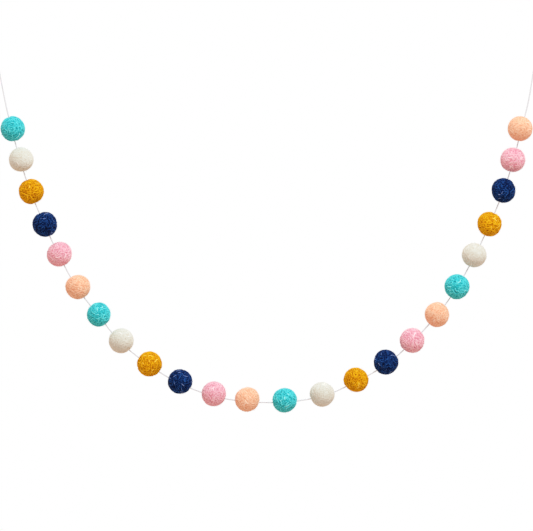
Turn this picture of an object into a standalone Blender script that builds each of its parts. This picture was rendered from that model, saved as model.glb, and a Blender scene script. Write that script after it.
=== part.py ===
"""Felt ball garland: wool felt balls threaded on one thin string that hangs in a swag.

The string ends at each side in a knotted loop, which goes over a hook. Balls come in six colours that
repeat along the string. Metres, +Z up: X runs along the garland from left to right, and Y points away
from whoever faces it. The origin is where the left loop bears on its hook, so the garland hangs below
it. Driving sizes, and the points of the string's route, are in millimetres.
"""

import math
import random
from collections import namedtuple

import bmesh
import bpy
from mathutils import Vector

MM = 0.001

# The balls
BALL_DIAMETER = 20.0
BORE_DIAMETER = 1.8
SWELL = 0.25
SWELL_WAVES = 4
BALL_SIDES = 20
BALL_ROWS = 13

# The string
STRING_DIAMETER = 1.0
MOUTH = 10.4
TAIL_STEP = 12.0
CURVE_STEPS = 24

# The knots and loops at the string's ends
KNOT_WIDTH = 3.2
KNOT_LENGTH = 3.6
KNOT_SIDES = 12
KNOT_ROWS = 7
KNOT_RIDGE = 0.12
LOOP_WIDTH = 8.0
LOOP_POINTS = 24
GAP = 0.3

# Felt and string colours, as red, green and blue from 0 to 255, in the order of the balls
FELTS = {
    "turquoise": (60, 191, 194),
    "cream": (220, 214, 195),
    "mustard": (218, 142, 19),
    "navy": (21, 43, 87),
    "pink": (240, 171, 181),
    "peach": (244, 184, 142),
}
STRING_COLOUR = (226, 224, 222)
FELT_ROUGHNESS = 0.95
STRING_ROUGHNESS = 0.8

# One row for each ball: where the string passes through it, and how far the ball's middle lies to the
# inside of the swag, because the needle missed that middle by as much
Threaded = namedtuple("Threaded", "x z inset")
THREADED = (
    Threaded(16.5, -84.0, 0.8),
    Threaded(23.5, -109.5, 0.6),
    Threaded(32.0, -135.5, 0.3),
    Threaded(43.5, -162.5, 0.4),
    Threaded(55.0, -187.0, 0.5),
    Threaded(70.0, -214.0, 0.4),
    Threaded(87.5, -236.5, 0.7),
    Threaded(105.5, -258.5, 0.7),
    Threaded(129.0, -277.5, 0.7),
    Threaded(154.0, -292.5, 1.1),
    Threaded(182.0, -303.0, 1.4),
    Threaded(209.5, -307.5, 1.5),
    Threaded(240.5, -308.0, 1.2),
    Threaded(271.5, -303.0, 0.9),
    Threaded(299.5, -291.0, 1.4),
    Threaded(324.5, -276.5, 1.1),
    Threaded(345.5, -258.0, 0.6),
    Threaded(365.5, -236.5, 0.1),
    Threaded(382.0, -213.5, 0.0),
    Threaded(396.5, -187.5, 0.4),
    Threaded(408.5, -162.0, 0.0),
    Threaded(420.0, -134.5, 0.0),
    Threaded(428.0, -109.5, 0.5),
    Threaded(434.5, -84.0, 1.2),
)

# One row for each end: where its loop bears on the hook, its knot, and a point of the bare string
# between the knot and the nearest ball
End = namedtuple("End", "name hook knot bare")
ENDS = (
    End("left", (0.0, 0.0), (4.5, -26.0), (11.0, -60.5)),
    End("right", (451.0, 2.5), (446.5, -23.5), (440.5, -60.5)),
)


def clear_scene():
    for old in list(bpy.data.objects):
        bpy.data.objects.remove(old)


def linear(channel):
    """One colour channel from 0 to 255, as the linear value that a shader takes."""
    share = channel / 255
    return share / 12.92 if share <= 0.04045 else ((share + 0.055) / 1.055) ** 2.4


def matt_material(name, colour, roughness):
    material = bpy.data.materials.new(name)
    material.use_nodes = True
    shader = material.node_tree.nodes["Principled BSDF"]
    shader.inputs["Base Color"].default_value = (*[linear(c) for c in colour], 1)
    shader.inputs["Roughness"].default_value = roughness
    shader.inputs["Metallic"].default_value = 0.0
    return material


def in_plane(x, z):
    """A point of the swag's own plane."""
    return Vector((x, 0, z))


def add_object(name, data, material, at, along):
    """Puts data in the scene with its own origin at a point and its own Z pointing along a direction
    of the swag's plane. Its X then points to the outside of the swag, where along follows the string."""
    placed = bpy.data.objects.new(name, data)
    bpy.context.scene.collection.objects.link(placed)
    placed.data.materials.append(material)
    placed.location = at * MM
    placed.rotation_euler = (0, math.atan2(along.x, along.z), 0)
    return placed


def smooth_curve(points):
    """Close points along a smooth curve through the given ones."""
    ends = [2 * points[0] - points[1], *points, 2 * points[-1] - points[-2]]
    line = []
    for before, start, stop, after in zip(ends, ends[1:], ends[2:], ends[3:]):
        for step in range(CURVE_STEPS):
            t = step / CURVE_STEPS
            line.append(
                start
                + 0.5 * t * (stop - before)
                + t**2 * (before - 2.5 * start + 2 * stop - 0.5 * after)
                + 0.5 * t**3 * (after - before + 3 * (start - stop))
            )
    return [*line, points[-1]]


def lengths_along(line):
    """How far along the line each of its points is."""
    along = [0.0]
    for start, stop in zip(line, line[1:]):
        along.append(along[-1] + (stop - start).length)
    return along


def point_at(line, along, distance):
    """The point that lies a distance along the line."""
    for k, reached in enumerate(along[1:]):
        if reached >= distance:
            share = (distance - along[k]) / (reached - along[k])
            return line[k].lerp(line[k + 1], share)
    return line[-1]


def string_bends():
    """The string's two ends, and every point where it bends: where it enters and leaves each ball, and
    at even steps along its bare stretches. Returned with the index of each ball's entry."""
    left, right = ENDS
    route = [in_plane(*left.knot), in_plane(*left.bare)]
    route += [in_plane(ball.x, ball.z) for ball in THREADED]
    route += [in_plane(*right.bare), in_plane(*right.knot)]
    line = smooth_curve(route)
    along = lengths_along(line)
    clear_of_knot = KNOT_LENGTH / 2 + GAP
    balls = [along[(k + 2) * CURVE_STEPS] for k in range(len(THREADED))]
    first, last = clear_of_knot, along[-1] - clear_of_knot
    steps = math.ceil((balls[0] - MOUTH - first) / TAIL_STEP)
    stops = [first + (balls[0] - MOUTH - first) * k / steps for k in range(steps)]
    entries = []
    for ball in balls:
        entries.append(len(stops))
        stops += [ball - MOUTH, ball + MOUTH]
    start = stops[-1]
    steps = math.ceil((last - start) / TAIL_STEP)
    stops += [start + (last - start) * (k + 1) / steps for k in range(steps)]
    return [point_at(line, along, stop) for stop in stops], entries


def tube(name, points):
    """A string of the given route, as a curve with a round section and closed ends."""
    curve = bpy.data.curves.new(name, "CURVE")
    curve.dimensions = "3D"
    curve.bevel_depth = STRING_DIAMETER / 2 * MM
    curve.bevel_resolution = 2
    curve.use_fill_caps = True
    spline = curve.splines.new("POLY")
    spline.points.add(len(points) - 1)
    for bend, point in zip(spline.points, points):
        bend.co = (*(point * MM), 1)
    return curve


def closed_grid(name, rows, capped):
    """A smooth closed mesh from rings of points, each ring running round +Z. The rings go down in Z.
    Capped rings are closed at both ends; the others join the last ring back to the first."""
    mesh = bpy.data.meshes.new(name)
    form = bmesh.new()
    rings = [[form.verts.new(point * MM) for point in row] for row in rows]
    pairs = list(zip(rings, rings[1:]))
    if capped:
        form.faces.new(rings[0])
        form.faces.new(reversed(rings[-1]))
    else:
        pairs.append((rings[-1], rings[0]))
    for upper, lower in pairs:
        for k in range(len(upper)):
            after = (k + 1) % len(upper)
            form.faces.new((upper[k], lower[k], lower[after], upper[after]))
    form.to_mesh(mesh)
    form.free()
    mesh.shade_smooth()
    return mesh


def unevenness(number):
    """How a ball departs from a true sphere: a few broad waves across it, its own for each ball."""
    chance = random.Random(number)
    waves = []
    for _ in range(SWELL_WAVES):
        across = Vector([chance.gauss(0, 1) for _ in range(3)]).normalized()
        waves.append((across, chance.uniform(1.5, 4.0), chance.uniform(0, math.tau)))

    def swell(point):
        toward = point.normalized()
        heights = [math.sin(rate * across.dot(toward) + turn) for across, rate, turn in waves]
        return SWELL * sum(heights) / math.sqrt(SWELL_WAVES)

    return swell


def ball_mesh(name, number, inset):
    """A felt ball about its own middle. Its bore runs along Z, and lies the inset away towards +X."""
    swell = unevenness(number)
    bore = BORE_DIAMETER / 2
    columns = []
    for side in range(BALL_SIDES):
        turn = math.tau * side / BALL_SIDES
        out = Vector((math.cos(turn), math.sin(turn), 0))
        middle = -inset * out.x
        radius = math.sqrt((BALL_DIAMETER / 2) ** 2 - (inset * out.y) ** 2)
        mouth = math.asin((bore - middle) / radius)
        column = []
        for row in range(BALL_ROWS + 1):
            angle = mouth + (math.pi - 2 * mouth) * row / BALL_ROWS
            reach = middle + radius * math.sin(angle)
            point = Vector((inset, 0, radius * math.cos(angle))) + out * reach
            at_mouth = row in (0, BALL_ROWS)
            column.append(point if at_mouth else point + point.normalized() * swell(point))
        columns.append(column)
    return closed_grid(name, list(zip(*columns)), capped=False)


def knot_mesh(name):
    """A drawn-up knot about its own middle: a short barrel with two slanting ridges."""
    rows = []
    for row in range(KNOT_ROWS):
        height = math.cos(math.pi * (row + 0.5) / KNOT_ROWS)
        width = math.sqrt(1 - height**4)
        ring = []
        for side in range(KNOT_SIDES):
            turn = math.tau * side / KNOT_SIDES
            ridge = 1 + KNOT_RIDGE * (math.cos(2 * turn + 2 * height) - 1)
            reach = KNOT_WIDTH / 2 * width * ridge
            out = Vector((math.cos(turn), math.sin(turn), 0))
            ring.append(out * reach + Vector((0, 0, KNOT_LENGTH / 2 * height)))
        rows.append(ring)
    return closed_grid(name, rows, capped=True)


def loop_points(length):
    """A drop-shaped loop above its knot, from one leg round to the other, in the knot's own frame."""
    widest = math.acos(-1 / 3)
    fullness = (LOOP_WIDTH - STRING_DIAMETER) / 2 / (math.sin(widest) * math.sin(widest / 2))
    foot = math.acos(1 - 2 * (KNOT_LENGTH / 2 + GAP) / length)
    points = []
    for k in range(LOOP_POINTS):
        turn = foot + (math.tau - 2 * foot) * k / (LOOP_POINTS - 1)
        across = fullness * math.sin(turn) * math.sin(turn / 2)
        points.append(in_plane(across, length * (1 - math.cos(turn)) / 2))
    return points


def build_balls(bends, entries, felts):
    colours = list(FELTS)
    for k, ball in enumerate(THREADED):
        colour = colours[k % len(colours)]
        name = f"ball_{k + 1:02d}_{colour}"
        enters, leaves = bends[entries[k]], bends[entries[k] + 1]
        along = (leaves - enters).normalized()
        outside = Vector((along.z, 0, -along.x))
        middle = (enters + leaves) / 2 - outside * ball.inset
        add_object(name, ball_mesh(name, k, ball.inset), felts[colour], middle, along)


def build_end(end, material):
    """The knot and the loop at one end. The loop's own line tops out half a string above its hook."""
    knot = in_plane(*end.knot)
    along = in_plane(*end.hook) - knot
    reach = along.length + STRING_DIAMETER / 2
    add_object(f"{end.name}_knot", knot_mesh(f"{end.name}_knot"), material, knot, along)
    add_object(f"{end.name}_loop", tube(f"{end.name}_loop", loop_points(reach)), material, knot, along)


def build_garland():
    clear_scene()
    felts = {
        colour: matt_material(f"felt_{colour}", shade, FELT_ROUGHNESS)
        for colour, shade in FELTS.items()
    }
    thread = matt_material("string", STRING_COLOUR, STRING_ROUGHNESS)
    bends, entries = string_bends()
    up = Vector((0, 0, 1))
    add_object("string", tube("string", bends), thread, Vector((0, 0, 0)), up)
    build_balls(bends, entries, felts)
    for end in ENDS:
        build_end(end, thread)


build_garland()
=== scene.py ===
"""Looks of the felt ball garland: curled wool strands on its balls, a twisted string, knots and loops.

Metres: +X runs along the garland from left to right, +Y away from the camera, and +Z up. The string's
route has the points of the part's source.
"""

import math
import random
from collections import namedtuple

import bpy
import numpy as np
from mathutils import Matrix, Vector


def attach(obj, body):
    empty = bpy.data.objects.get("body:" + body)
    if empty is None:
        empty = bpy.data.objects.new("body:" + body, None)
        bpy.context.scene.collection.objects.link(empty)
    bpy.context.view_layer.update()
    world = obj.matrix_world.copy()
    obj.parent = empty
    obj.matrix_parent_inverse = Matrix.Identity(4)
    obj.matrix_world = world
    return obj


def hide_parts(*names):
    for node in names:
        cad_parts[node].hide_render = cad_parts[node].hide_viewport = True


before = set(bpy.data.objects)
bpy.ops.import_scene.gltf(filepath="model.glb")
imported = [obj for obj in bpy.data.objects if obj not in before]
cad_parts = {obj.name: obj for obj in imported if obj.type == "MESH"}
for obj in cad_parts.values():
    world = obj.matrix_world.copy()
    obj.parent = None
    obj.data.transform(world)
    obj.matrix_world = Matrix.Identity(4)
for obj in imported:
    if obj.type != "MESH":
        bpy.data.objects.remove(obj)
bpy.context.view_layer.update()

MM = 0.001
TAU = math.tau

# Edges sharper than this stay crisp, as round the cut end of a thread
CREASE = math.radians(70)

# The photograph's view: straight at the swag, whose frame is this wide there
VIEW_CENTRE = (0.2255, 0.0, -0.196)
VIEW_WIDTH = 0.43706
CAMERA_DISTANCE = 3.0
SENSOR_WIDTH = 36.0

# The balls, as in the part's source, with the felt's surface in place of the plain one
BALL_RADIUS = 10.0 * MM
SWELL = 0.25 * MM
SWELL_WAVES = 4
BORE_RADIUS = 0.65 * MM
BALL_COLUMNS = 160
BALL_ROWS = 104
BORE_RING_DEPTH = 0.9 * MM
DIMPLE_DEPTH = 0.45 * MM
DIMPLE_WIDTH = 0.8 * MM
MOUTH_FADE = 1.4 * MM

# The curled strands that the felt's surface is matted from, and how near one may start or run to another
STRAND_BASE = 9.83 * MM
STRAND_TRIES = 2500
STRAND_REACH = 6
STRAND_STEP = 0.34 * MM
STRAND_CURL = 0.13
STRAND_APART = 1.0 * MM
STRAND_CLOSE = 0.75 * MM
STRAND_THIN = 0.62 * MM
STRAND_THICK = 0.80 * MM
STRAND_SUNK = 0.36 * MM
FULL_RELIEF = 0.36 * MM
MEAN_RELIEF = 0.22 * MM

# Single fibres that stand off the felt
FIBRES = 70
FIBRE_POINTS = 5
FIBRE_STEP = 0.75 * MM
FIBRE_CURL = 0.3
FIBRE_ROOT = 9.83 * MM
FIBRE_LIFT = (0.45 * MM, 1.0 * MM)
FIBRE_ARCH = 0.8
FIBRE_RADIUS = 0.035 * MM
FIBRE_TAPER = 0.5
FIBRE_SIDES = 3

# The string: three plies twisted together, a little thinner in some places than in others
STRING_DIAMETER = 1.0 * MM
PLIES = 3
PLY_VALLEY = 0.78
PLY_PITCH = 4.2 * MM
SLUB_DEPTH = 0.04
SLUB_PITCH = 11.3 * MM
SLUB_DRIFT = 29.0 * MM
THREAD_SIDES = 12
THREAD_STEP = 0.5 * MM
MOUTH = 10.4 * MM
TAIL_STEP = 12.0 * MM
CURVE_STEPS = 24
STRING_FOLDS = 24

# The knots and loops at its ends
KNOT_WIDTH = 3.2 * MM
KNOT_LENGTH = 3.6 * MM
KNOT_TURNS = 2.6
KNOT_POINTS = 24
KNOT_FOLDS = 2
KNOT_CORE = 0.8 * MM
KNOT_MIDWAY = 0.3
KNOT_TAIL = 4.5 * MM
KNOT_LEG = 0.5 * MM
LOOP_WIDTH = 8.0 * MM
LOOP_POINTS = 24
LOOP_FOLDS = 4
GAP = 0.3 * MM

# The cut end of a knot, point by point: how far out it lies, in radii of the winding, how far round from
# the last turn, in radians, and how far below the knot, as a share of its tail
Cut = namedtuple("Cut", "spread turn drop")
CUT_END = (
    Cut(1.05, 0.6, 0.25),
    Cut(1.35, 0.8, 0.6),
    Cut(1.8, 0.85, 1.0),
)

# One row for each ball: where the string passes through it, and how far the ball's middle lies to the
# inside of the swag
Threaded = namedtuple("Threaded", "x z inset")
THREADED = (
    Threaded(0.0165, -0.0840, 0.0008),
    Threaded(0.0235, -0.1095, 0.0006),
    Threaded(0.0320, -0.1355, 0.0003),
    Threaded(0.0435, -0.1625, 0.0004),
    Threaded(0.0550, -0.1870, 0.0005),
    Threaded(0.0700, -0.2140, 0.0004),
    Threaded(0.0875, -0.2365, 0.0007),
    Threaded(0.1055, -0.2585, 0.0007),
    Threaded(0.1290, -0.2775, 0.0007),
    Threaded(0.1540, -0.2925, 0.0011),
    Threaded(0.1820, -0.3030, 0.0014),
    Threaded(0.2095, -0.3075, 0.0015),
    Threaded(0.2405, -0.3080, 0.0012),
    Threaded(0.2715, -0.3030, 0.0009),
    Threaded(0.2995, -0.2910, 0.0014),
    Threaded(0.3245, -0.2765, 0.0011),
    Threaded(0.3455, -0.2580, 0.0006),
    Threaded(0.3655, -0.2365, 0.0001),
    Threaded(0.3820, -0.2135, 0.0000),
    Threaded(0.3965, -0.1875, 0.0004),
    Threaded(0.4085, -0.1620, 0.0000),
    Threaded(0.4200, -0.1345, 0.0000),
    Threaded(0.4280, -0.1095, 0.0005),
    Threaded(0.4345, -0.0840, 0.0012),
)

# One row for each end: where its loop bears on the hook, its knot, and a point of the bare string
End = namedtuple("End", "name hook knot bare")
ENDS = (
    End("left", (0.0, 0.0), (0.0045, -0.0260), (0.0110, -0.0605)),
    End("right", (0.4510, 0.0025), (0.4465, -0.0235), (0.4405, -0.0605)),
)

# The felts in the order of the balls, as red, green and blue from 0 to 255: the dark colour, which is
# painted shade between the strands as well as darker fibres; the strands; the pale colour, which is painted
# highlight on their crests as well as paler fibres; and the odd paler strand. Then how much deeper than
# usual the strands' relief is, and how much sheen the wool has
Felt = namedtuple("Felt", "name ground strand crest stray depth sheen")
FELTS = (
    Felt("turquoise", (0, 128, 142), (36, 198, 208), (126, 246, 250), (162, 244, 246), 1.2, 1.0),
    Felt("cream", (197, 193, 178), (207, 211, 200), (218, 224, 218), (228, 231, 224), 0.40, 0.40),
    Felt("mustard", (152, 68, 0), (221, 151, 3), (255, 206, 24), (253, 212, 84), 1.2, 0.35),
    Felt("navy", (0, 0, 10), (1, 24, 74), (42, 98, 180), (118, 138, 182), 1.15, 0.12),
    Felt("pink", (214, 112, 140), (237, 177, 192), (250, 212, 222), (252, 218, 226), 1.0, 0.70),
    Felt("peach", (226, 146, 106), (241, 188, 154), (250, 212, 186), (252, 220, 198), 0.8, 0.65),
)

# How much each form counts in a felt's colour, and where on that scale its dark colour, strands and pale
# colour are. The relief's share paints shade between the strands and highlight on their crests; tone,
# streaks, fine hairs and cloud are the wool's own tone
RELIEF_PAINTED_LIGHT_SHARE = 0.30
TONE_SHARE = 0.15
STREAK_SHARE = 0.40
FINE_SHARE = 0.25
CLOUD_SHARE = 0.05
DARK_AND_SHADED_AT = 0.2
STRAND_AT = 0.52
PALE_AND_LIT_AT = 0.9
STRAY_ABOVE = 0.9

# The sizes of those forms, as scales of their noise, and the felt's finish. A roughness is given between
# the fibres and on them
FINE_SCALE = 0.45
STREAK_SCALE = 0.5
STREAK_SLIMNESS = 3
CLOUD_SCALE = 0.22
FELT_ROUGHNESS = (0.98, 0.8)
FELT_BUMP = 0.7
FELT_BUMP_HEIGHT = 0.2 * MM
FELT_SPECULAR = 0.1
SHEEN_ROUGHNESS = 0.5

# Hairs: how many times longer than wide they are, which ways they lie, and from where in the noise they
# show until where they are full
HAIR_SLIMNESS = 7
HAIR_WAYS = ((0.0, 0.0, 0.0), (1.1, 0.4, 0.3), (0.5, 1.2, 2.0))
HAIR_DETAIL = 1.0
HAIR_DISTORTION = 0.6
HAIR_FROM = 0.45
HAIR_FULL = 0.8

# The string's colours on its plies and between them, the one between them painted shade in the grooves, how
# much its form counts in them, and its finish
STRING_COLOUR = (227, 233, 240)
STRING_SHADE = (189, 196, 206)
STRING_PLY_SHADE_SHARE = 0.75
STRING_FINE_SHARE = 0.35
STRING_SHADE_AT = 0.15
STRING_COLOUR_AT = 0.75
STRING_FINE_SCALE = 0.8
STRING_ROUGHNESS = (0.95, 0.75)
STRING_BUMP = 0.4
STRING_BUMP_HEIGHT = 0.1 * MM
STRING_SPECULAR = 0.3

# The floor, a lamp, and the room's light from above and below, which is stronger behind the garland
FLOOR_HEIGHT = -1.2
FLOOR_SIZE = 12.0
FLOOR_COLOUR = (244, 244, 243)
FLOOR_GRAIN = 40.0
FLOOR_ROUGHNESS = (0.7, 0.9)
ROOM_ABOVE = (1.0, 1.02, 1.05)
ROOM_BELOW = (1.2, 0.76, 0.54)
ROOM_BEHIND = 0.35
BRIGHT_SIDE = (0.27, -0.2, 0.942)
KEY_PLACE = (0.8, -1.9, 2.4)
KEY_SIZE = 0.8
KEY_POWER = 72.0

# How much brighter than white the backdrop is, and the tones' curve up to there, which flattens near white
BACKDROP = 1.12
TONES = ((0.5, 0.5), (0.84, 0.8), (1.0, 0.9), (BACKDROP, 1.0))

# Places on a piece's map, as left, low, right and high: a ball's surface and bore, its single fibres, and
# all of it for a thread. Then what a face, and what a fibre, takes of its own place, and a thread's caps
SURFACE_PLACE = (0.0, 0.0, 1.0, 0.96)
FIBRES_PLACE = (0.0, 0.97, 1.0, 1.0)
WHOLE_MAP = (0.0, 0.0, 1.0, 1.0)
FACE_SHARE = 0.98
FIBRE_SHARE = 0.9
CAP_RADIUS = 0.002
CAP_MIDDLE = 0.004

# A closed form before it becomes part of a piece: its points, its faces as lists of their numbers, the
# faces' places on the map, corner by corner, and values for each point by name
Form = namedtuple("Form", "points faces places values")


def linear(channel):
    """One colour channel from 0 to 255, as the linear value that a shader takes."""
    share = channel / 255
    return share / 12.92 if share <= 0.04045 else ((share + 0.055) / 1.055) ** 2.4


def shade(colour):
    return (*[linear(channel) for channel in colour], 1.0)


def unit(vectors):
    return vectors / np.linalg.norm(vectors, axis=-1, keepdims=True)


def smoothstep(values):
    share = np.clip(values, 0.0, 1.0)
    return share * share * (3 - 2 * share)


# Camera


def build_camera():
    """A long lens that looks along +Y, as wide at the garland as the photograph's frame."""
    data = bpy.data.cameras.new("photo_camera")
    data.sensor_width = SENSOR_WIDTH
    data.lens = SENSOR_WIDTH * CAMERA_DISTANCE / VIEW_WIDTH
    data.clip_end = 50.0
    camera = bpy.data.objects.new("photo_camera", data)
    camera.location = (VIEW_CENTRE[0], VIEW_CENTRE[1] - CAMERA_DISTANCE, VIEW_CENTRE[2])
    camera.rotation_euler = (math.pi / 2, 0, 0)
    bpy.context.scene.collection.objects.link(camera)
    bpy.context.scene.camera = camera


# The string's route


def in_plane(x, z):
    """A point of the swag's own plane."""
    return np.array([x, 0.0, z])


def smooth_curve(points):
    """Close points along a smooth curve through the given ones, the same number for each span."""
    points = np.asarray(points)
    ends = np.vstack([2 * points[0] - points[1], points, 2 * points[-1] - points[-2]])
    t = np.arange(CURVE_STEPS)[:, None] / CURVE_STEPS
    spans = [
        start
        + 0.5 * t * (stop - before)
        + t**2 * (before - 2.5 * start + 2 * stop - 0.5 * after)
        + 0.5 * t**3 * (after - before + 3 * (start - stop))
        for before, start, stop, after in zip(ends, ends[1:], ends[2:], ends[3:])
    ]
    return np.vstack([*spans, points[-1:]])


def distances_along(line):
    """How far along the line each of its points is."""
    steps = np.linalg.norm(np.diff(line, axis=0), axis=1)
    return np.concatenate([[0.0], np.cumsum(steps)])


def points_at(line, stops):
    """The points that lie these distances along the line."""
    along = distances_along(line)
    return np.stack([np.interp(stops, along, line[:, axis]) for axis in range(3)], axis=1)


def evenly(line, step):
    """Points along the line about a step apart, its two ends among them."""
    reach = distances_along(line)[-1]
    return points_at(line, np.linspace(0.0, reach, round(reach / step) + 1))


def string_bends(clear_of_knot):
    """The string's bends, from this far along it after one knot's middle to as far before the other's:
    where it enters and leaves each ball, and at even steps along its bare stretches. Returned with the
    number of each ball's entry."""
    left, right = ENDS
    route = [in_plane(*left.knot), in_plane(*left.bare)]
    route += [in_plane(ball.x, ball.z) for ball in THREADED]
    route += [in_plane(*right.bare), in_plane(*right.knot)]
    line = smooth_curve(route)
    along = distances_along(line)
    balls = along[2 * CURVE_STEPS : -2 * CURVE_STEPS : CURVE_STEPS]
    first, last = clear_of_knot, along[-1] - clear_of_knot
    head = np.linspace(first, balls[0] - MOUTH, math.ceil((balls[0] - MOUTH - first) / TAIL_STEP) + 1)
    tail = np.linspace(balls[-1] + MOUTH, last, math.ceil((last - balls[-1] - MOUTH) / TAIL_STEP) + 1)
    through = np.stack([balls - MOUTH, balls + MOUTH], axis=1).ravel()
    stops = np.concatenate([head[:-1], through, tail[1:]])
    entries = len(head) - 1 + 2 * np.arange(len(THREADED))
    return points_at(line, stops), entries


# Meshes


def sleeve(rings, values, place, folds=1, closed=False):
    """A form from rings of points, one after another, that run clockwise as one looks along them. Its map
    is cut into folds that lie one above the next. A closed sleeve joins its last ring to its first, and
    any other has a cap at both ends."""
    count, sides = rings.shape[:2]
    spans = count if closed else count - 1
    ring, side = np.meshgrid(np.arange(spans), np.arange(sides), indexing="ij")
    onward, after = (ring + 1) % count, (side + 1) % sides
    quads = np.stack(
        [ring * sides + side, onward * sides + side, onward * sides + after, ring * sides + after], -1
    )
    left, low, right, high = place
    spans_a_fold = math.ceil(spans / folds)
    fold, along = ring // spans_a_fold, (ring % spans_a_fold) / spans_a_fold
    u = left + (right - left) * np.stack([along, along + 1 / spans_a_fold], -1)
    v = low + (high - low) * (fold[..., None] + np.stack([side, side + FACE_SHARE], -1) / sides) / folds
    corners = np.stack(
        [u[..., 0], v[..., 0], u[..., 1], v[..., 0], u[..., 1], v[..., 1], u[..., 0], v[..., 1]], -1
    )
    faces = quads.reshape(-1, 4).tolist()
    places = [corners.reshape(-1, 2)]
    if not closed:
        last = (count - 1) * sides
        faces += [list(range(sides)), list(range(last + sides - 1, last - 1, -1))]
        turn = np.arange(sides) * TAU / sides
        disc = CAP_RADIUS * np.stack([np.cos(turn), np.sin(turn)], -1)
        middle = np.array([left + CAP_MIDDLE, low + CAP_MIDDLE])
        places += [middle + disc, middle + disc[::-1]]
    return Form(rings.reshape(-1, 3), faces, np.vstack(places), values)


def joined(forms):
    """Several forms as one."""
    shift, faces = 0, []
    for form in forms:
        faces += [[shift + corner for corner in face] for face in form.faces]
        shift += len(form.points)
    values = {
        name: np.concatenate([form.values[name] for form in forms]) for name in forms[0].values
    }
    points = np.vstack([form.points for form in forms])
    return Form(points, faces, np.vstack([form.places for form in forms]), values)


def add_piece(name, form, material, at=(0.0, 0.0, 0.0), along=(0.0, 0.0, 1.0)):
    """Puts a form in the scene with its own origin at a point and its own Z pointing along a direction of
    the swag's plane. Its X then points to the outside of the swag, where along follows the string."""
    mesh = bpy.data.meshes.new(name)
    mesh.from_pydata(form.points.tolist(), [], form.faces)
    chart = mesh.uv_layers.new(name="OFBake")
    chart.uv.foreach_set("vector", form.places.astype(np.float32).ravel())
    for value, numbers in form.values.items():
        attribute = mesh.attributes.new(value, "FLOAT", "POINT")
        attribute.data.foreach_set("value", numbers.astype(np.float32))
    mesh.materials.append(material)
    mesh.shade_smooth()
    mesh.set_sharp_from_angle(angle=CREASE)
    piece = bpy.data.objects.new(name, mesh)
    piece.location = at
    piece.rotation_euler = (0, math.atan2(along[0], along[2]), 0)
    bpy.context.scene.collection.objects.link(piece)
    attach(piece, "root")
    return piece


# Thread


def thread_form(line, folds, start=0.0):
    """A twisted thread along a line of close points, its twist turned by this much at the start."""
    tangents = unit(np.gradient(line, axis=0))
    up = np.cross(tangents[0], (0.0, 1.0, 0.0))
    ups = []
    for tangent in tangents:
        up = unit(up - tangent * np.dot(up, tangent))
        ups.append(up)
    ups = np.array(ups)
    across = np.cross(ups, tangents)
    along = distances_along(line)[:, None]
    column = np.arange(THREAD_SIDES) * TAU / THREAD_SIDES
    crown = np.abs(np.cos(PLIES / 2 * column))
    slub = 1 - SLUB_DEPTH * (1 + np.sin(along * TAU / SLUB_PITCH + np.sin(along * TAU / SLUB_DRIFT)))
    radius = STRING_DIAMETER / 2 * (PLY_VALLEY + (1 - PLY_VALLEY) * crown) * slub
    turn = column + start + along * TAU / PLY_PITCH
    rings = line[:, None] + radius[..., None] * (
        np.cos(turn)[..., None] * ups[:, None] + np.sin(turn)[..., None] * across[:, None]
    )
    values = {"crown": np.tile(crown, len(line))}
    return sleeve(rings, values, WHOLE_MAP, folds)


def loop_line(length):
    """A drop-shaped loop above its knot, from one leg round to the other, in the knot's own frame."""
    widest = math.acos(-1 / 3)
    fullness = (LOOP_WIDTH - STRING_DIAMETER) / 2 / (math.sin(widest) * math.sin(widest / 2))
    foot = math.acos(1 - 2 * (KNOT_LENGTH / 2 + GAP) / length)
    turn = np.linspace(foot, TAU - foot, LOOP_POINTS)
    across = fullness * np.sin(turn) * np.sin(turn / 2)
    up = length * (1 - np.cos(turn)) / 2
    return smooth_curve(np.stack([across, 0 * turn, up], -1))


def knot_lines(loop):
    """The two legs of a loop inside their knot, each on its way from the loop at first: one winds round the
    other and leaves as the cut end, and the other goes straight through and is the garland's string."""
    half_span = CURVE_STEPS // 2
    winding_leg, straight_leg = [
        [leg - step, leg, leg + step]
        for leg, step in (
            (loop[0], KNOT_LEG * unit(loop[0] - loop[half_span])),
            (loop[-1], KNOT_LEG * unit(loop[-1] - loop[-1 - half_span])),
        )
    ]
    coil = (KNOT_WIDTH - STRING_DIAMETER) / 2
    top = (KNOT_LENGTH - STRING_DIAMETER) / 2
    turn = np.linspace(0.0, KNOT_TURNS * TAU, KNOT_POINTS)
    height = np.linspace(top, -top, len(turn))
    winding = np.stack([coil * np.cos(turn), coil * np.sin(turn), height], -1)
    cut = []
    for point in CUT_END:
        reach = point.spread * coil
        angle = turn[-1] + point.turn
        cut.append((reach * math.cos(angle), reach * math.sin(angle), -top - point.drop * KNOT_TAIL))
    around = smooth_curve([*winding_leg, *winding[1:], *cut])
    through = smooth_curve([*straight_leg, (0.0, 0.0, KNOT_MIDWAY * top), (0.0, 0.0, -KNOT_CORE)])
    return around[CURVE_STEPS:], through[CURVE_STEPS:]


def build_string(material):
    """The string from knot to knot, through all the balls."""
    bends, _ = string_bends(KNOT_CORE)
    line = evenly(bends, THREAD_STEP)
    string = add_piece("twisted_string", thread_form(line, STRING_FOLDS), material)
    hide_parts("string")
    return string, line


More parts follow.
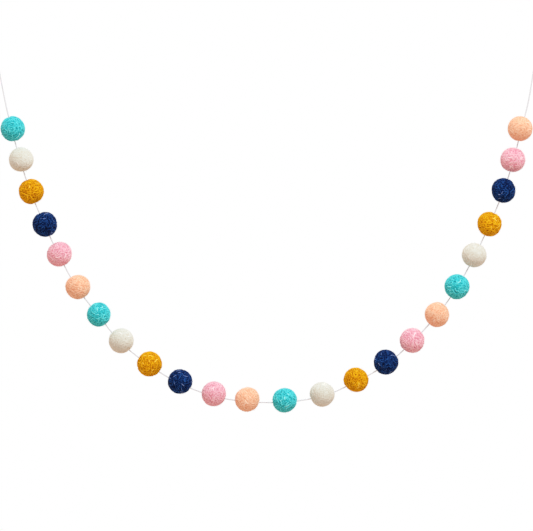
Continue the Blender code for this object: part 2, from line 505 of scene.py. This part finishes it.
def build_end(end, material):
    """The loop and the knot at one end. The loop's own line tops out half a string above its hook, and its
    twist runs on into the knot's two legs."""
    knot = in_plane(*end.knot)
    along = in_plane(*end.hook) - knot
    reach = np.linalg.norm(along) + STRING_DIAMETER / 2
    loop = loop_line(reach)
    line = evenly(loop, THREAD_STEP)
    hoop = add_piece(f"{end.name}_hanging_loop", thread_form(line, LOOP_FOLDS), material, knot, along)
    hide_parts(f"{end.name}_loop")
    starts = (TAU / 2, distances_along(line)[-1] * TAU / PLY_PITCH)
    legs = [
        thread_form(evenly(leg, THREAD_STEP / 2), KNOT_FOLDS, start)
        for leg, start in zip(knot_lines(loop), starts)
    ]
    tied = add_piece(f"{end.name}_tied_knot", joined(legs), material, knot, along)
    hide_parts(f"{end.name}_knot")
    bpy.context.view_layer.update()
    return hoop, tied, [hoop.matrix_world @ Vector(place) for place in line]


# Balls


def unevenness(number):
    """How a ball departs from a true sphere: a few broad waves across it, its own for each ball."""
    chance = random.Random(number)
    waves = []
    for _ in range(SWELL_WAVES):
        across = unit(np.array([chance.gauss(0, 1) for _ in range(3)]))
        waves.append((across, chance.uniform(1.5, 4.0), chance.uniform(0, TAU)))

    def swell(toward):
        heights = sum(np.sin(rate * (toward @ across) + turn) for across, rate, turn in waves)
        return SWELL * heights / math.sqrt(SWELL_WAVES)

    return swell


def curled_lines(chance, count, points, step, curl):
    """Short curled lines on a sphere of radius 1, every way round, as points of each."""
    at = unit(chance.normal(size=(count, 3)))
    heading = unit(np.cross(at, chance.normal(size=(count, 3))))
    bend = chance.normal(0, curl, (count, 1))
    line = [at]
    for _ in range(points - 1):
        onward = at * math.cos(step) + heading * math.sin(step)
        heading = unit(heading * math.cos(step) - at * math.sin(step))
        at = onward
        turn = bend + chance.normal(0, curl / 2, (count, 1))
        heading = unit(heading * np.cos(turn) + np.cross(at, heading) * np.sin(turn))
        line.append(at)
    return np.stack(line, axis=1)


def strand_from(at, heading, bend, others, chance):
    """A strand that grows from a point until it comes close to the others, or has its full reach."""
    step = STRAND_STEP / BALL_RADIUS
    line = []
    while len(line) < STRAND_REACH:
        onward = at * math.cos(step) + heading * math.sin(step)
        heading = heading * math.cos(step) - at * math.sin(step)
        at = onward
        if (others @ at).max() > math.cos(STRAND_CLOSE / BALL_RADIUS):
            break
        line.append(at)
        turn = bend + chance.normal(0, STRAND_CURL / 2)
        heading = unit(heading * math.cos(turn) + np.cross(at, heading) * math.sin(turn))
    return line


def spread_strands(chance):
    """Curled strands that fill a sphere of radius 1 evenly: their points, and each point's strand."""
    spots, owners = np.zeros((1, 3)), [0]
    for strand in range(STRAND_TRIES):
        at = unit(chance.normal(size=3))
        if (spots @ at).max() > math.cos(STRAND_APART / BALL_RADIUS):
            continue
        heading = unit(np.cross(at, chance.normal(size=3)))
        bend = chance.normal(0, STRAND_CURL)
        ahead = strand_from(at, heading, bend, spots, chance)
        behind = strand_from(at, -heading, -bend, spots, chance)
        line = [at, *ahead, *behind]
        spots = np.vstack([spots, line])
        owners += [strand] * len(line)
    return spots[1:], np.array(owners[1:])


def matted(toward, chance):
    """How high the strands stand at each of these directions, and the tone of the strand there."""
    spots, owners = spread_strands(chance)
    thick = chance.uniform(STRAND_THIN, STRAND_THICK, STRAND_TRIES)[owners]
    tones = chance.uniform(0, 1, STRAND_TRIES)[owners]
    inside = toward @ (2 * BALL_RADIUS**2 * spots.T) + (thick**2 - 2 * BALL_RADIUS**2)
    nearest = inside.argmax(axis=1)
    best = inside[np.arange(len(toward)), nearest]
    return np.maximum(np.sqrt(np.maximum(best, 0.0)) - STRAND_SUNK, 0.0), tones[nearest]


def ball_form(number, inset, depth, chance):
    """A felt ball about its own middle. Its bore runs along Z, and lies the inset away towards +X."""
    turn = np.arange(BALL_COLUMNS) * TAU / BALL_COLUMNS
    out = np.stack([np.cos(turn), np.sin(turn), 0 * turn], -1)
    middle = -inset * out[:, 0]
    radius = np.sqrt(BALL_RADIUS**2 - (inset * out[:, 1]) ** 2)
    mouth = np.arcsin((BORE_RADIUS - middle) / radius)
    share = np.linspace(0.0, 1.0, BALL_ROWS + 1)[:, None]
    angle = mouth + (math.pi - 2 * mouth) * share
    reach = middle + radius * np.sin(angle)
    sphere = out * reach[..., None]
    sphere[..., 0] += inset
    sphere[..., 2] = radius * np.cos(angle)
    toward = unit(sphere).reshape(-1, 3)
    relief, tone = matted(toward, chance)
    off_bore = (reach - BORE_RADIUS).ravel()
    # The relief fades out round the mouth, so the material paints the dark colour there too: painted shade
    # round the mouth
    relief = relief * smoothstep(off_bore / MOUTH_FADE)
    dimple = DIMPLE_DEPTH * np.exp(-((off_bore / DIMPLE_WIDTH) ** 2))
    rise = depth * relief + (1 - depth) * MEAN_RELIEF
    height = STRAND_BASE + unevenness(number)(toward) + rise - dimple
    outer = (toward * height[:, None]).reshape(sphere.shape)
    inner = out * BORE_RADIUS + np.array([inset, 0.0, 0.0])
    half_bore = np.array([0.0, 0.0, BALL_RADIUS - BORE_RING_DEPTH])
    rings = np.concatenate([outer, [inner - half_bore, inner + half_bore]])
    # The bore's lining has no relief, so the material paints it the dark colour: painted shade inside the
    # bore
    lining = np.zeros(2 * BALL_COLUMNS)
    values = {
        "relief": np.concatenate([relief / FULL_RELIEF, lining]),
        "tone": np.concatenate([tone, lining]),
    }
    return sleeve(rings, values, SURFACE_PLACE, closed=True)


def fibres_form(chance):
    """Single fibres that leave the felt and stand a little off it, each a thin closed tube."""
    lines = curled_lines(chance, FIBRES, FIBRE_POINTS, FIBRE_STEP / BALL_RADIUS, FIBRE_CURL)
    share = np.linspace(0.0, 1.0, FIBRE_POINTS)
    lift = chance.uniform(*FIBRE_LIFT, (FIBRES, 1)) * np.sin(math.pi * FIBRE_ARCH * share)
    paths = lines * (FIBRE_ROOT + lift)[..., None]
    tangents = unit(np.gradient(paths, axis=1))
    ups = unit(lines - tangents * np.sum(lines * tangents, -1, keepdims=True))
    across = np.cross(ups, tangents)
    thick = FIBRE_RADIUS * (1 - FIBRE_TAPER * share)[:, None, None]
    tones = chance.uniform(0, 1, FIBRES)
    left, low, right, high = FIBRES_PLACE
    forms = []
    for number, (path, up, side) in enumerate(zip(paths, ups, across)):
        turn = np.arange(FIBRE_SIDES) * TAU / FIBRE_SIDES
        ring = np.cos(turn)[:, None] * up[:, None] + np.sin(turn)[:, None] * side[:, None]
        rings = path[:, None] + thick * ring
        count = FIBRE_POINTS * FIBRE_SIDES
        # Fibres count as full relief, so the material paints them with the pale colour, the same painted
        # highlight as a strand's crest
        values = {"relief": np.ones(count), "tone": np.full(count, tones[number])}
        start = left + (right - left) * number / FIBRES
        place = (start, low, start + (right - left) * FIBRE_SHARE / FIBRES, high)
        forms.append(sleeve(rings, values, place))
    return joined(forms)


def build_balls(felts):
    bends, entries = string_bends(KNOT_LENGTH / 2 + GAP)
    for number, ball in enumerate(THREADED):
        felt = FELTS[number % len(FELTS)]
        enters, leaves = bends[entries[number]], bends[entries[number] + 1]
        along = unit(leaves - enters)
        outside = np.array([along[2], 0.0, -along[0]])
        middle = (enters + leaves) / 2 - outside * ball.inset
        chance = np.random.default_rng(number)
        form = joined([ball_form(number, ball.inset, felt.depth, chance), fibres_form(chance)])
        name = f"ball_{number + 1:02d}_{felt.name}"
        piece = add_piece(f"felt_{name}", form, felts[felt.name], middle, along)
        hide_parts(name)


# Materials


def new_material(name):
    material = bpy.data.materials.new(name)
    material.use_nodes = True
    tree = material.node_tree
    return material, tree, tree.nodes["Principled BSDF"]


def add_node(tree, kind, inputs=(), **settings):
    """A node with these settings. Each input is its name or number with a value or the socket it reads."""
    node = tree.nodes.new(kind)
    for name, value in settings.items():
        setattr(node, name, value)
    for name, value in dict(inputs).items():
        if isinstance(value, bpy.types.NodeSocket):
            tree.links.new(value, node.inputs[name])
        else:
            node.inputs[name].default_value = value
    return node


def point_value(tree, name):
    return add_node(tree, "ShaderNodeAttribute", attribute_name=name).outputs["Fac"]


def in_millimetres(tree, stretch=(1, 1, 1), turned=(0, 0, 0)):
    """The piece's own coordinates in millimetres, turned and then stretched."""
    own = add_node(tree, "ShaderNodeTexCoord").outputs["Object"]
    scale = tuple(along / MM for along in stretch)
    inputs = {"Vector": own, "Rotation": turned, "Scale": scale}
    return add_node(tree, "ShaderNodeMapping", inputs).outputs["Vector"]


def noise(tree, place, scale, detail=2.0, distortion=0.0):
    inputs = {"Vector": place, "Scale": scale, "Detail": detail, "Distortion": distortion}
    return add_node(tree, "ShaderNodeTexNoise", inputs).outputs["Fac"]


def maths(tree, operation, *values):
    return add_node(tree, "ShaderNodeMath", enumerate(values), operation=operation).outputs[0]


def weighted(tree, *parts):
    """The sum of these values, each times its own weight."""
    total = 0.0
    for value, weight in parts:
        total = maths(tree, "MULTIPLY_ADD", value, weight, total)
    return total


def colour_mix(tree, factor, first, second):
    """A mix of two colours. Its sockets go by number, as all of a Mix node's kinds share their names."""
    inputs = {0: factor, 6: first, 7: second}
    return add_node(tree, "ShaderNodeMix", inputs, data_type="RGBA").outputs[2]


def colour_ramp(tree, height, stops):
    """The colour at a height, from stops in rising order, each its place and its colour."""
    ramp = add_node(tree, "ShaderNodeValToRGB", {"Fac": height})
    elements = ramp.color_ramp.elements
    elements[0].position = stops[0][0]
    elements[1].position = stops[-1][0]
    for place, _ in stops[1:-1]:
        elements.new(place)
    for element, (_, colour) in zip(elements, stops):
        element.color = shade(colour)
    return ramp.outputs["Color"]


def hair(tree, scale, slimness=HAIR_SLIMNESS):
    """Fibres that lie every way round, from 0 to 1: the highest of three stretched noises at each place."""
    stretch = (1, slimness, slimness)
    found = [
        noise(tree, in_millimetres(tree, stretch, way), scale, HAIR_DETAIL, HAIR_DISTORTION)
        for way in HAIR_WAYS
    ]
    highest = maths(tree, "MAXIMUM", maths(tree, "MAXIMUM", found[0], found[1]), found[2])
    inputs = {"Value": highest, "From Min": HAIR_FROM, "From Max": HAIR_FULL}
    return add_node(tree, "ShaderNodeMapRange", inputs).outputs["Result"]


def roughen(tree, shader, value, roughness):
    """Roughness that goes with a value, from the first number at 0 to the second at 1."""
    inputs = {"Value": value, "To Min": roughness[0], "To Max": roughness[1]}
    rough = add_node(tree, "ShaderNodeMapRange", inputs)
    tree.links.new(rough.outputs["Result"], shader.inputs["Roughness"])


def add_bump(tree, shader, height, strength, distance):
    inputs = {"Height": height, "Strength": strength, "Distance": distance}
    bump = add_node(tree, "ShaderNodeBump", inputs)
    tree.links.new(bump.outputs["Normal"], shader.inputs["Normal"])


def felt_material(felt):
    """Matted wool: dark between the strands and light on their crests, which is painted shade and painted
    highlight, each strand with its own tone.
    """
    material, tree, shader = new_material(f"felt_{felt.name}")
    relief = point_value(tree, "relief")
    tone = point_value(tree, "tone")
    fine = hair(tree, FINE_SCALE)
    streaks = hair(tree, STREAK_SCALE, STREAK_SLIMNESS)
    cloud = noise(tree, in_millimetres(tree), CLOUD_SCALE)
    # The relief's share paints shade between the strands and highlight on their crests; the rest is the
    # wool's own random tone
    height = weighted(
        tree, (relief, RELIEF_PAINTED_LIGHT_SHARE), (tone, TONE_SHARE), (streaks, STREAK_SHARE), (fine, FINE_SHARE),
        (cloud, CLOUD_SHARE),
    )
    stops = ((DARK_AND_SHADED_AT, felt.ground), (STRAND_AT, felt.strand), (PALE_AND_LIT_AT, felt.crest))
    is_stray = maths(tree, "GREATER_THAN", maths(tree, "MULTIPLY", tone, relief), STRAY_ABOVE)
    colour = colour_mix(tree, is_stray, colour_ramp(tree, height, stops), shade(felt.stray))
    tree.links.new(colour, shader.inputs["Base Color"])
    roughen(tree, shader, fine, FELT_ROUGHNESS)
    add_bump(tree, shader, maths(tree, "ADD", fine, streaks), FELT_BUMP * felt.depth, FELT_BUMP_HEIGHT)
    shader.inputs["Specular IOR Level"].default_value = FELT_SPECULAR
    shader.inputs["Sheen Weight"].default_value = felt.sheen
    shader.inputs["Sheen Roughness"].default_value = SHEEN_ROUGHNESS
    shader.inputs["Sheen Tint"].default_value = shade(felt.crest)
    return material


def string_material():
    """Off-white twisted thread, with painted shade that makes it darker between its plies, and fine fibres
    along it.
    """
    material, tree, shader = new_material("string")
    crown = point_value(tree, "crown")
    fine = hair(tree, STRING_FINE_SCALE)
    # The crown's share paints shade between the plies; the fine hairs are the thread's own tone
    height = weighted(tree, (crown, STRING_PLY_SHADE_SHARE), (fine, STRING_FINE_SHARE))
    stops = ((STRING_SHADE_AT, STRING_SHADE), (STRING_COLOUR_AT, STRING_COLOUR))
    tree.links.new(colour_ramp(tree, height, stops), shader.inputs["Base Color"])
    roughen(tree, shader, fine, STRING_ROUGHNESS)
    add_bump(tree, shader, fine, STRING_BUMP, STRING_BUMP_HEIGHT)
    shader.inputs["Specular IOR Level"].default_value = STRING_SPECULAR
    return material


# Studio


def build_floor():
    """A plain pale floor, well below the garland. It throws no light back up at it."""
    half = FLOOR_SIZE / 2
    corners = [(-half, -half, 0), (half, -half, 0), (half, half, 0), (-half, half, 0)]
    mesh = bpy.data.meshes.new("floor")
    mesh.from_pydata(corners, [], [(0, 1, 2, 3)])
    floor = bpy.data.objects.new("floor", mesh)
    floor.location = (VIEW_CENTRE[0], 0.0, FLOOR_HEIGHT)
    floor.visible_diffuse = False
    bpy.context.scene.collection.objects.link(floor)
    material, tree, shader = new_material("floor")
    own = add_node(tree, "ShaderNodeTexCoord").outputs["Object"]
    roughen(tree, shader, noise(tree, own, FLOOR_GRAIN, detail=4.0), FLOOR_ROUGHNESS)
    shader.inputs["Base Color"].default_value = shade(FLOOR_COLOUR)
    mesh.materials.append(material)


def build_light():
    """A soft lamp above and to the right of the camera, in a white room that is cool above and warm below,
    and brighter behind the garland than in front. The camera sees the room pure white."""
    data = bpy.data.lights.new("key", "AREA")
    data.size = KEY_SIZE
    data.energy = KEY_POWER
    key = bpy.data.objects.new("key", data)
    key.location = Vector(VIEW_CENTRE) + Vector(KEY_PLACE)
    key.rotation_mode = "QUATERNION"
    key.rotation_quaternion = Vector(KEY_PLACE).to_track_quat("Z", "Y")
    key.visible_camera = False
    bpy.context.scene.collection.objects.link(key)
    world = bpy.data.worlds.new("white_room")
    bpy.context.scene.world = world
    world.use_nodes = True
    tree = world.node_tree
    lit = tree.nodes["Background"]
    toward = add_node(tree, "ShaderNodeTexCoord").outputs["Generated"]
    inputs = {0: toward, 1: BRIGHT_SIDE}
    brightward = add_node(tree, "ShaderNodeVectorMath", inputs, operation="DOT_PRODUCT").outputs["Value"]
    share = add_node(tree, "ShaderNodeMapRange", {"Value": brightward, "From Min": -1.0}).outputs["Result"]
    colour = colour_mix(tree, share, (*ROOM_BELOW, 1.0), (*ROOM_ABOVE, 1.0))
    tree.links.new(colour, lit.inputs["Color"])
    inputs = {0: toward, 1: (0.0, ROOM_BEHIND, 0.0)}
    behind = add_node(tree, "ShaderNodeVectorMath", inputs, operation="DOT_PRODUCT").outputs["Value"]
    tree.links.new(maths(tree, "ADD", behind, 1.0), lit.inputs["Strength"])
    seen = add_node(tree, "ShaderNodeBackground", {"Color": (1, 1, 1, 1), "Strength": BACKDROP})
    by_camera = add_node(tree, "ShaderNodeLightPath").outputs["Is Camera Ray"]
    inputs = {0: by_camera, 1: lit.outputs[0], 2: seen.outputs[0]}
    mix = add_node(tree, "ShaderNodeMixShader", inputs)
    tree.links.new(mix.outputs[0], tree.nodes["World Output"].inputs["Surface"])


def set_tones():
    """Colours as they are, but for a soft shoulder below white, as the photograph's exposure gives."""
    view = bpy.context.scene.view_settings
    view.view_transform = "Standard"
    view.use_curve_mapping = True
    mapping = view.curve_mapping
    mapping.clip_max_x = BACKDROP
    tones = mapping.curves[3]
    tones.points[-1].location = TONES[-1]
    for tone in TONES[:-1]:
        tones.points.new(*tone)
    mapping.update()


def build_garland():
    thread = string_material()
    string, line = build_string(thread)
    for end in ENDS:
        hoop, tied, path = build_end(end, thread)
    build_balls({felt.name: felt_material(felt) for felt in FELTS})


build_camera()
build_garland()
build_floor()
build_light()
set_tones()
